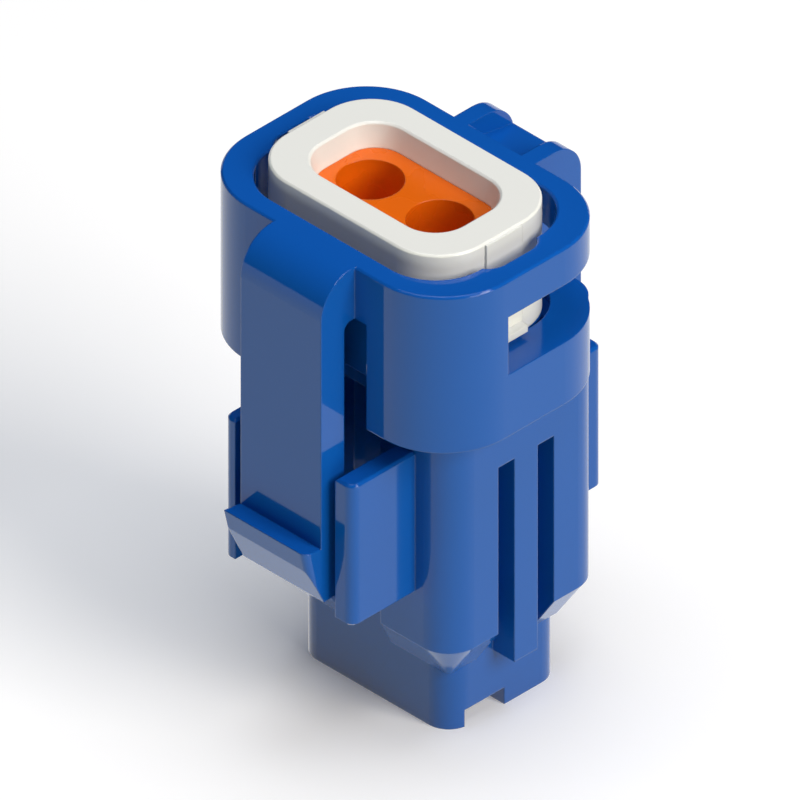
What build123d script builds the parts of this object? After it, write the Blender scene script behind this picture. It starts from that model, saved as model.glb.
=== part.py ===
from build123d import *
import math
import os

# Sealed two-way wire-to-wire connector, socket half, standing on its wire end with the mating face up.
# X runs along the row of two contacts, the latch is on the -Y side, and Z points out of the mating face.
# The origin is midway between the two contact axes, on the plane of the wire end. Millimetres.

# Contacts
contact_pitch = 6.0
contact_diameter = 2.5
contact_length = 19.0
contact_shoulder_diameter = 3.2
contact_shoulder_length = 1.0
contact_shoulder_drop = 8.0
contact_nose_bevel = 0.25
pin_bore_diameter = 1.6
pin_bore_depth = 7.5
contact_slit_width = 0.35
contact_slit_length = 5.5
wire_cup_diameter = 1.9
wire_cup_depth = 5.5
sight_hole_diameter = 0.8
contact_clearance = 0.1

# Hood: the outer wall round the mating face
housing_height = 36.0
hood_length = 22.3
hood_width = 15.65
hood_corner = 5.2
hood_wall = 1.5
hood_end_wall = 2.2
hood_inner_corner = 3.75
end_recess_width = 5.2
end_recess_corner = 1.5
hood_height = 11.6
hood_cavity_depth = 7.0
hood_floor = 1.6
hood_lip_bevel = 0.13

# Corner window of the hood, one at each end, open round the rear corner
window_height = 4.3
window_front = -2.25

# Core: the block that holds the wires, set back from the contact axes
core_length = 13.1
core_width = 9.75
core_setback = 2.08
core_corner = 1.7
foot_notch_height = 1.25
foot_notch_width = 3.4
foot_notch_offset = 0.3

# Corner posts and centre strips, which stand out of the core
post_proud = 1.9
rear_post_proud = 1.7
post_corner = 2.2
post_bottom = 4.6
post_taper_height = 2.8
strip_width = 2.0
groove_width = 1.4
groove_top = 19.8
front_recess_mouth = 5.1
front_recess_base = 3.2

# Latch arm, rooted in the rim by a quarter-round arch
latch_width = 6.94
latch_thickness = 2.0
latch_gap = 0.9
latch_arch_radius = 2.7
latch_inner_round = 0.6
latch_root_height = 3.83
latch_bottom = 12.3
latch_side_clearance = 1.0
latch_cut_skin = 0.5
catch_drop = 6.4
catch_height = 2.0
catch_proud = 1.1
catch_width = 4.2
ledge_top = 16.57
ledge_rise = 0.22
ledge_depth = 1.43
ledge_height = 1.5
ledge_lean = 0.35
ledge_foot = 0.25
ledge_corner = 0.45

# Guard wings beside the latch arm, and their match at the rear
wing_spread = 11.1
wing_thickness = 1.5
left_wing_thickness = 1.0
wing_bottom = 11.15
wing_height = 10.5
front_wing_tip = 10.11
rear_wing_tip = 11.5
wing_outer_corner = 0.65
wing_edge_bevel = 0.17

# Rear rail: two round-topped ribs with a bridge between them
rib_spacing = 5.8
rib_thickness = 1.2
rib_face = 11.66
rib_arch_radius = 2.36
bridge_drop = 1.4
bridge_step = 9.0
bridge_slope_drop = 0.48
bridge_thickness = 1.3
rim_back_setback = 0.125

# Seal retainer: the oval cap that snaps over the core's nose
retainer_end_gap = 0.525
retainer_side_gap = 0.8
retainer_corner = 3.65
retainer_proud = 1.1
retainer_wall = 1.3
retainer_end_rim = 2.325
retainer_side_rim = 2.025
retainer_opening_corner = 2.4
retainer_opening_slope = 0.32
retainer_flange = 1.7
retainer_pad_width = 3.1
retainer_pad_proud = 0.15
snap_ledge_width = 2.94
snap_ledge_proud = 0.69
snap_ledge_height = 0.52
snap_ledge_lift = 0.37
retainer_edge_bevel = 0.12
moat_rear = 0.55
moat_gap = 0.1
moat_depth = 0.8

# Face seal, held between the nose and the retainer
seal_thickness = 3.4
seal_clearance = 0.1
pin_entry_diameter = 4.25
pin_entry_depth = 3.0
pin_hole_diameter = 1.5

# Wire bores in the core
wire_bore_diameter = 4.4
wire_bore_depth = 12.0
wire_bore_lead_in = 0.3

# Heights and places worked out from the sizes above
rim = housing_height
hood_bottom = rim - hood_height
cavity_floor = rim - hood_cavity_depth
retainer_top = rim + retainer_proud
seal_top = retainer_top - retainer_flange
nose_top = seal_top - seal_thickness
core_front = core_setback - core_width / 2
core_back = core_setback + core_width / 2
post_length = core_length + 2 * post_proud
post_front = core_front - post_proud
post_back = core_back + rear_post_proud
post_middle = (post_front + post_back) / 2
rim_back = hood_width / 2 - rim_back_setback
retainer_length = hood_length - 2 * (hood_end_wall + retainer_end_gap)
retainer_width = hood_width - 2 * (hood_wall + retainer_side_gap)
retainer_opening_length = retainer_length - 2 * retainer_end_rim
retainer_opening_width = retainer_width - 2 * retainer_side_rim
pocket_length = retainer_length - 2 * retainer_wall
pocket_width = retainer_width - 2 * retainer_wall
pocket_corner = retainer_corner - retainer_wall
arm_back = -(hood_width / 2 + latch_gap)
arm_face = arm_back - latch_thickness
shoulder_step = nose_top - contact_shoulder_drop
contact_top = nose_top - contact_clearance
contact_ways = (-contact_pitch / 2, contact_pitch / 2)


def block(x0, x1, y0, y1, z0, z1):
    """A plain box between two corners."""
    size = Box(abs(x1 - x0), abs(y1 - y0), abs(z1 - z0))
    return Pos((x0 + x1) / 2, (y0 + y1) / 2, (z0 + z1) / 2) * size


def oval(length, width, corner, z0, z1, y=0.0):
    """An upright block whose plan is a rectangle with round corners."""
    corner = min(corner, 0.499 * length, 0.499 * width)
    return extrude(Pos(0, y, z0) * RectangleRounded(length, width, corner), z1 - z0)


def upright(diameter, z0, z1, x=0.0, y=0.0):
    """An upright cylinder."""
    return Pos(x, y, (z0 + z1) / 2) * Cylinder(diameter / 2, z1 - z0)


def side_profile(face, width, x=0.0):
    """A Y-Z outline, drawn as (y, z), widened evenly to both sides of X."""
    return Pos(x, 0, 0) * extrude(Plane.YZ * face, width / 2, both=True)


def both_ends(solid):
    """The solid and its mirror image at the other end of X."""
    return solid + mirror(solid, Plane.YZ)


def mouth(z0, z1):
    """The space inside the hood, with a recess at each end for the retainer's snap ledges."""
    space = oval(hood_length - 2 * hood_end_wall, hood_width - 2 * hood_wall, hood_inner_corner, z0, z1)
    return space + oval(hood_length - 2 * hood_wall, end_recess_width, end_recess_corner, z0, z1)


def hood():
    """The outer wall, its floor, and the open underside round the posts."""
    wall = oval(hood_length, hood_width, hood_corner, hood_bottom, rim)
    wall -= mouth(cavity_floor, rim)
    wall -= oval(hood_length - 2 * hood_wall, hood_width - 2 * hood_wall, hood_corner - hood_wall,
                 hood_bottom, cavity_floor - hood_floor)
    lip = wall.faces().sort_by(Axis.Z)[-1].edges()
    return chamfer(lip, hood_lip_bevel)


def corner_window():
    """The cut at one end that runs from the side face round the rear corner to the rail."""
    beyond = hood_length
    rib_side = (rib_spacing + rib_thickness) / 2
    return block(rib_side, beyond, window_front, beyond, cavity_floor, cavity_floor + window_height)


def posts():
    """The posts and strips, with grooves at the ends and a recess behind the latch."""
    top = cavity_floor - hood_floor / 2
    middle = oval(post_length, post_back - post_front, post_corner, post_bottom, top, post_middle)
    # the lower edges taper in to the core's face
    middle = chamfer(middle.faces().sort_by(Axis.Z)[0].edges(), post_taper_height, 0.98 * post_proud)
    strip = block(-post_length / 2, post_length / 2, post_middle - strip_width / 2,
                  post_middle + strip_width / 2, post_bottom, groove_top)
    trench = block(core_length / 2, post_length, post_middle - strip_width / 2 - groove_width,
                   post_middle + strip_width / 2 + groove_width, post_bottom, groove_top)
    middle = middle - both_ends(trench) + strip
    base, mouth_side = front_recess_base / 2, front_recess_mouth / 2
    recess = Polyline((-base, core_front), (base, core_front), (mouth_side, post_front),
                      (-mouth_side, post_front), close=True)
    return middle - extrude(Pos(0, 0, post_bottom) * make_face(recess), hood_bottom - post_bottom)


def core():
    """The block at the wire end, the nose inside the retainer, and the notches in its foot."""
    body = oval(core_length, core_width, core_corner, 0, cavity_floor, core_setback)
    body += oval(pocket_length - 2 * seal_clearance, pocket_width - 2 * seal_clearance, pocket_corner,
                 cavity_floor - hood_floor, nose_top)
    front, back = foot_notch_offset - foot_notch_width / 2, foot_notch_offset + foot_notch_width / 2
    notch = block(contact_pitch / 2, core_length, front, back, 0, foot_notch_height)
    return body - both_ends(notch)


def contact_cavity(x):
    """One way through the core: wire bore, terminal bore, and the step that stops the shoulder."""
    wide = contact_shoulder_diameter + 2 * contact_clearance
    narrow = contact_diameter + 2 * contact_clearance
    way = upright(wire_bore_diameter, 0, wire_bore_depth, x)
    way += Pos(x, 0, wire_bore_lead_in / 2) * Cone(wire_bore_diameter / 2 + wire_bore_lead_in,
                                                   wire_bore_diameter / 2, wire_bore_lead_in)
    way += upright(wide, wire_bore_depth, shoulder_step, x)
    return way + upright(narrow, shoulder_step, nose_top, x)


def latch_arm():
    """The arm, bent over from the rim, with its thumb ledge and the catch on its inner face."""
    start = arm_face + latch_arch_radius
    ledge_out = arm_face - ledge_depth
    root = -(hood_width - hood_wall) / 2
    soffit = rim - latch_root_height
    outline = [
        Line((root, soffit), (root, rim)),
        Line((root, rim), (start, rim)),
        RadiusArc((start, rim), (arm_face, rim - latch_arch_radius), -latch_arch_radius),
        Polyline((arm_face, rim - latch_arch_radius), (arm_face, ledge_top - ledge_rise),
                 (ledge_out, ledge_top), (ledge_out + ledge_lean, ledge_top - ledge_height),
                 (arm_face + ledge_foot, latch_bottom), (arm_back, latch_bottom),
                 (arm_back, soffit - latch_inner_round)),
        RadiusArc((arm_back, soffit - latch_inner_round), (arm_back + latch_inner_round, soffit),
                  latch_inner_round),
        Line((arm_back + latch_inner_round, soffit), (root, soffit)),
    ]
    arm = side_profile(make_face(Curve() + outline), latch_width)
    ledge_side = Vertex(latch_width / 2, ledge_out + ledge_lean / 2, ledge_top - ledge_height / 2)
    arm = fillet(arm.edges().sort_by_distance(ledge_side)[0], ledge_corner)
    top = rim - catch_drop
    tip = arm_back + catch_proud
    ramp = Polyline((arm_back, top), (tip, top - 0.6 * catch_height), (tip, top - catch_height),
                    (arm_back, top - catch_height), close=True)
    return arm + side_profile(make_face(ramp), catch_width)


def latch_cut():
    """What is taken out of the hood behind the arm, from under the root to the open lower edge."""
    half = latch_width / 2 + latch_side_clearance
    back = hood_wall - hood_width / 2
    under_floor = cavity_floor - hood_floor
    cut = block(-half, half, -hood_width, back, hood_bottom, under_floor)
    soffit = rim - latch_root_height
    return cut + block(-half, half, -hood_width, back - latch_cut_skin, under_floor, soffit)


def guard_wing(tip, root, thickness):
    """One wing at +X: a plate that stands out from the body to its tip, with a rounder outer corner."""
    outer = wing_spread / 2
    wing = block(outer - thickness, outer, tip, root, wing_bottom, wing_bottom + wing_height)
    corner = Vertex(outer, tip, wing_bottom + wing_height / 2)
    wing = fillet(wing.edges().filter_by(Axis.Z).sort_by_distance(corner)[0], wing_outer_corner)
    rims = wing.faces().sort_by(Axis.Z)[0].edges() + wing.faces().sort_by(Axis.Z)[-1].edges()
    return chamfer([e for e in rims if abs(e.center().Y) > abs(root) + 0.01], wing_edge_bevel)


def rear_rail():
    """Two ribs from the rim down the rear, joined by a bridge that slopes away below the rim."""
    root = hood_width / 2 - hood_wall / 2
    start = rib_face - rib_arch_radius
    outline = [
        Line((root, wing_bottom), (root, rim)),
        Line((root, rim), (start, rim)),
        RadiusArc((start, rim), (rib_face, rim - rib_arch_radius), rib_arch_radius),
        Line((rib_face, rim - rib_arch_radius), (rib_face, wing_bottom)),
        Line((rib_face, wing_bottom), (root, wing_bottom)),
    ]
    rib = side_profile(make_face(Curve() + outline), rib_thickness, rib_spacing / 2)
    low = rim - bridge_drop
    bridge = Polyline((root, rim), (rim_back, rim), (bridge_step, low), (rib_face, low - bridge_slope_drop),
                      (rib_face, wing_bottom), (rib_face - bridge_thickness, wing_bottom),
                      (rib_face - bridge_thickness, low - bridge_slope_drop - bridge_thickness),
                      (root, low - bridge_thickness), close=True)
    return both_ends(rib) + side_profile(make_face(bridge), rib_spacing)


def moat():
    """The groove in the hood's floor round the retainer, wider at the rear."""
    foot = (retainer_length + 2 * moat_gap, retainer_width + 2 * moat_gap, retainer_corner + moat_gap)
    bottom = cavity_floor - moat_depth
    ring = oval(*foot, bottom, cavity_floor) + oval(*foot, bottom, cavity_floor, moat_rear)
    return ring - oval(retainer_length, retainer_width, retainer_corner, bottom, cavity_floor)


def housing():
    """The whole blue moulding."""
    body = hood() - both_ends(corner_window()) - latch_cut()
    body = body + posts() + core()
    body = body + rear_rail() + latch_arm() - moat()
    body += guard_wing(-front_wing_tip, post_front, wing_thickness)
    body += mirror(guard_wing(-front_wing_tip, post_front, left_wing_thickness), Plane.YZ)
    body += both_ends(guard_wing(rear_wing_tip, post_back, wing_thickness))
    body -= mouth(nose_top, retainer_top)
    for x in contact_ways:
        body -= contact_cavity(x)
    return body


def seal_retainer():
    """The white cap: a flange round the opening, a skirt over the nose, and a snap ledge at each end."""
    cap = oval(retainer_length, retainer_width, retainer_corner, cavity_floor, retainer_top)
    cap -= oval(pocket_length, pocket_width, pocket_corner, cavity_floor, seal_top)
    opening = RectangleRounded(retainer_opening_length, retainer_opening_width, retainer_opening_corner)
    draft = math.degrees(math.atan2(retainer_opening_slope, retainer_flange))
    cap -= extrude(Pos(0, 0, retainer_top) * opening, -retainer_flange, taper=draft)
    cap = chamfer(cap.faces().sort_by(Axis.Z)[-1].edges(), retainer_edge_bevel)
    pad = block(pocket_length / 2, retainer_length / 2 + retainer_pad_proud, -retainer_pad_width / 2,
                retainer_pad_width / 2, cavity_floor, retainer_top - retainer_edge_bevel)
    ledge_low = cavity_floor + snap_ledge_lift
    ledge = block(pocket_length / 2, retainer_length / 2 + snap_ledge_proud, -snap_ledge_width / 2,
                  snap_ledge_width / 2, ledge_low, ledge_low + snap_ledge_height)
    return cap + both_ends(pad + ledge)


def face_seal():
    """The orange pad: each pin entry is a wide well with a small hole on through it."""
    pad = oval(pocket_length - 2 * seal_clearance, pocket_width - 2 * seal_clearance, pocket_corner,
               nose_top, seal_top)
    for x in contact_ways:
        pad -= upright(pin_entry_diameter, seal_top - pin_entry_depth, seal_top, x)
        pad -= upright(pin_hole_diameter, nose_top, seal_top, x)
    return pad


def socket_contact(x):
    """A turned socket: pin bore with slits at the top, a shoulder, and a wire cup at the bottom."""
    bottom = contact_top - contact_length
    body = upright(contact_diameter, bottom, contact_top, x)
    body = chamfer(body.edges().sort_by(Axis.Z)[-1], contact_nose_bevel)
    body += upright(contact_shoulder_diameter, shoulder_step - contact_shoulder_length, shoulder_step, x)
    body -= upright(pin_bore_diameter, contact_top - pin_bore_depth, contact_top, x)
    slit = contact_slit_width / 2
    body -= block(x - contact_diameter, x + contact_diameter, -slit, slit,
                  contact_top - contact_slit_length, contact_top)
    body -= upright(wire_cup_diameter, bottom, bottom + wire_cup_depth, x)
    sight = Pos(x, -contact_diameter / 2, bottom + wire_cup_depth - sight_hole_diameter)
    return body - sight * Rot(90, 0, 0) * Cylinder(sight_hole_diameter / 2, contact_diameter)


def main():
    os.makedirs("parts", exist_ok=True)
    nodes = {
        "housing": housing(),
        "seal_retainer": seal_retainer(),
        "face_seal": face_seal(),
        "socket_contact_left": socket_contact(contact_ways[0]),
        "socket_contact_right": socket_contact(contact_ways[1]),
    }
    for name, solid in nodes.items():
        export_step(solid, f"parts/{name}.step")


main()
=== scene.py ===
import math

import bpy
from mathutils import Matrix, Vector

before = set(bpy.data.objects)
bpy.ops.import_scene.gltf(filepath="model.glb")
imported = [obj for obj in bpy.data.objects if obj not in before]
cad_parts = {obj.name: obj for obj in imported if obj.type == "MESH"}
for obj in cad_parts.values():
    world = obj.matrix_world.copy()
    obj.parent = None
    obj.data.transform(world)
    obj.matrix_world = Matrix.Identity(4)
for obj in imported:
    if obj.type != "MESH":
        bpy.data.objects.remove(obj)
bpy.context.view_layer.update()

# The housing: one blue moulding with the hood, the latch arm, the guard wings and the core.
# It is a glossy filled plastic from a polished steel mould, so its faces carry only the
# faintest ripple, and its edges are broken by a small even radius.
plastic_blue = (0.0036, 0.088, 0.41)
flow_size, flow_detail = 0.009, 3
ripple_size, ripple_height = 0.0011, 0.00002
mould_edge_radius, mould_edge_samples = 0.00013, 6


class Shade:
    """One socket of a material, so that shader maths reads as plain sums."""

    def __init__(self, tree, socket=None):
        self.tree, self.socket = tree, socket

    def node(self, kind, settings=None, sockets=None, out=0):
        """Adds a node: its settings first, then the value or link of each socket."""
        made = self.tree.nodes.new("ShaderNode" + kind)
        for name, value in (settings or {}).items():
            setattr(made, name, value)
        for name, value in (sockets or {}).items():
            if isinstance(value, Shade):
                self.tree.links.new(value.socket, made.inputs[name])
            else:
                made.inputs[name].default_value = value
        return Shade(self.tree, made.outputs[out])

    def maths(self, operation, first, second):
        return self.node("Math", {"operation": operation}, {0: first, 1: second})

    def __add__(self, other):
        return self.maths("ADD", self, other)

    def __mul__(self, other):
        return self.maths("MULTIPLY", self, other)

    __radd__, __rmul__ = __add__, __mul__


def new_material(name):
    """An empty material, and the Shade that adds its nodes."""
    material = bpy.data.materials.new(name)
    material.use_nodes = True
    material.node_tree.nodes.clear()
    return material, Shade(material.node_tree)


def finish_material(shade, surface):
    """Gives the material its surface shader."""
    output = shade.tree.nodes.new("ShaderNodeOutputMaterial")
    shade.tree.links.new(surface.socket, output.inputs["Surface"])


def put_on(node, material):
    """Gives the whole of a CAD node the material."""
    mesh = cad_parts[node].data
    mesh.materials.clear()
    mesh.materials.append(material)


def noise(shade, size, detail=2.0):
    """Even noise in the piece's own metres, about 0.5 at its middle."""
    place = shade.node("TexCoord", out="Object")
    return shade.node("TexNoise", sockets={"Vector": place, "Scale": 1 / size, "Detail": detail})


def blend(shade, share, low, high):
    """The low colour where the share is 0, and the high one where it is 1.

    A Mix node finds the sockets of its colours by number only.
    """
    return shade.node("Mix", {"data_type": "RGBA"}, {"Factor": share, 6: low, 7: high}, out=2)


def tinted(shade, colour, tint, pattern):
    """The colour, made darker and lighter along the pattern by up to that share."""
    low = [c * (1 - tint) for c in colour] + [1]
    high = [c * (1 + tint) for c in colour] + [1]
    return blend(shade, pattern, low, high)


def moulded(name, colour, tint, roughness, roughness_spread, ior, ripple_strength,
            flow_size=flow_size, ripple_size=ripple_size):
    """A moulded material: the melt's flow changes its tint and gloss, and its edges are soft."""
    material, shade = new_material(name)
    flow = noise(shade, flow_size, flow_detail)
    ripple = noise(shade, ripple_size)
    edge = shade.node("Bevel", {"samples": mould_edge_samples}, {"Radius": mould_edge_radius})
    skin = shade.node("Bump", sockets={
        "Height": ripple,
        "Strength": ripple_strength,
        "Distance": ripple_height,
        "Normal": edge,
    })
    finish_material(shade, shade.node("BsdfPrincipled", sockets={
        "Base Color": tinted(shade, colour, tint, flow),
        "Roughness": roughness + flow * roughness_spread,
        "IOR": ior,
        "Normal": skin,
    }))
    return material


put_on("housing", moulded(
    "blue_plastic", plastic_blue, tint=0.03,
    roughness=0.05, roughness_spread=0.05, ior=1.42, ripple_strength=0.05,
))

# The seal retainer: a white cap that snaps over the nose and keeps the face seal down.
# It is a satin plastic, with the same small edge radius.
plastic_white = (0.81, 0.83, 0.79)

put_on("seal_retainer", moulded(
    "white_plastic", plastic_white, tint=0.015,
    roughness=0.22, roughness_spread=0.08, ior=1.5, ripple_strength=0.06,
))

# The face seal: a soft orange silicone pad between the nose and the retainer, with a well
# for each pin's collar. It is moulded smooth and oiled, so it has a wet gloss.
silicone_orange = (0.72, 0.125, 0.0025)

put_on("face_seal", moulded(
    "orange_silicone", silicone_orange, tint=0.05,
    roughness=0.2, roughness_spread=0.15, ior=1.42, ripple_strength=0.08,
    flow_size=flow_size / 3, ripple_size=ripple_size / 2,
))

# The two socket contacts: turned copper alloy with a thin tin plate, locked in the core by
# their shoulders. Only their tips can be seen, far down the pin holes.
tin_plate, tin_tint = (0.7, 0.66, 0.58), 0.06
tin_roughness, tin_roughness_spread = 0.25, 0.15
turning_mark_size = 0.0002

metal, shade = new_material("tin_plate")
turned = noise(shade, turning_mark_size)
finish_material(shade, shade.node("BsdfPrincipled", sockets={
    "Base Color": tinted(shade, tin_plate, tin_tint, turned),
    "Metallic": 1.0,
    "Roughness": tin_roughness + turned * tin_roughness_spread,
}))
for side in ("left", "right"):
    put_on("socket_contact_" + side, metal)

# The studio: a pale floor, a soft lamp overhead and another to the right, and only white behind.
# The floor is pale to the camera and white in the gloss. It sends a warmer light back up, which
# fills the shadow side.
floor_reach = 3.0
floor_pale = (0.965, 0.98, 0.98, 1)
floor_warm = (0.99, 0.99, 0.74, 1)
floor_lift = 0.08
floor_gloss = 1.0

bpy.ops.mesh.primitive_plane_add(size=2 * floor_reach)
floor = bpy.context.object
floor.name = "floor"
pale, shade = new_material("pale_floor")
seen = shade.node("LightPath", out="Is Camera Ray")
mirrored = shade.node("LightPath", out="Is Glossy Ray")
colour = blend(shade, seen, floor_warm, floor_pale)
own = shade.node("BsdfDiffuse", sockets={"Color": colour})
lift = shade.node("Emission", sockets={"Strength": seen * floor_lift})
lit = shade.node("Emission", sockets={"Strength": floor_gloss})
plain = shade.node("AddShader", sockets={0: own, 1: lift})
finish_material(shade, shade.node("MixShader", sockets={0: mirrored, 1: plain, 2: lit}))
floor.data.materials.append(pale)

sky_white = (1, 1, 1, 1)
sky_seen, sky_on_object = 1, 0.02

backdrop = bpy.data.worlds.new("backdrop")
bpy.context.scene.world = backdrop
backdrop.use_nodes = True
backdrop.node_tree.nodes.clear()
shade = Shade(backdrop.node_tree)
seen = shade.node("LightPath", out="Is Camera Ray")
sky = shade.node("Background", sockets={
    "Color": sky_white,
    "Strength": seen * (sky_seen - sky_on_object) + sky_on_object,
})
sky_output = backdrop.node_tree.nodes.new("ShaderNodeOutputWorld")
backdrop.node_tree.links.new(sky.socket, sky_output.inputs["Surface"])

lamp_aim = Vector((0, 0, 0.02))
lamp_distance = 1.0


def soft_lamp(name, azimuth, elevation, size, power, colour):
    """A square lamp that looks at the object from that azimuth, counted from +X towards +Y."""
    a, e = math.radians(azimuth), math.radians(elevation)
    away = Vector((math.cos(a) * math.cos(e), math.sin(a) * math.cos(e), math.sin(e)))
    data = bpy.data.lights.new(name, "AREA")
    data.size, data.energy, data.color = size, power, colour
    lamp = bpy.data.objects.new(name, data)
    lamp.location = lamp_aim + away * lamp_distance
    lamp.rotation_euler = away.to_track_quat("Z", "Y").to_euler()
    bpy.context.scene.collection.objects.link(lamp)


soft_lamp("side_lamp", azimuth=5, elevation=32, size=0.55, power=8.6, colour=(1, 0.93, 0.85))
soft_lamp("top_lamp", azimuth=0, elevation=90, size=0.9, power=7.9, colour=(0.94, 0.95, 1))

# The camera: the photograph is a true isometric view with no perspective.
# A millimetre is 16.4 of its 800 pixels.
view_from = Vector((1, -1, 1)).normalized()
view_centre = Vector((-0.000224, -0.000224, 0.020436))
view_distance = 0.4
picture_width = 800
pixels_per_metre = 16400

camera = bpy.data.objects.new("camera", bpy.data.cameras.new("camera"))
camera.data.type = "ORTHO"
camera.data.ortho_scale = picture_width / pixels_per_metre
camera.data.clip_start, camera.data.clip_end = 0.001, 20
camera.location = view_centre + view_from * view_distance
camera.rotation_euler = view_from.to_track_quat("Z", "Y").to_euler()
bpy.context.scene.collection.objects.link(camera)
bpy.context.scene.camera = camera
bpy.context.scene.view_settings.view_transform = "Standard"
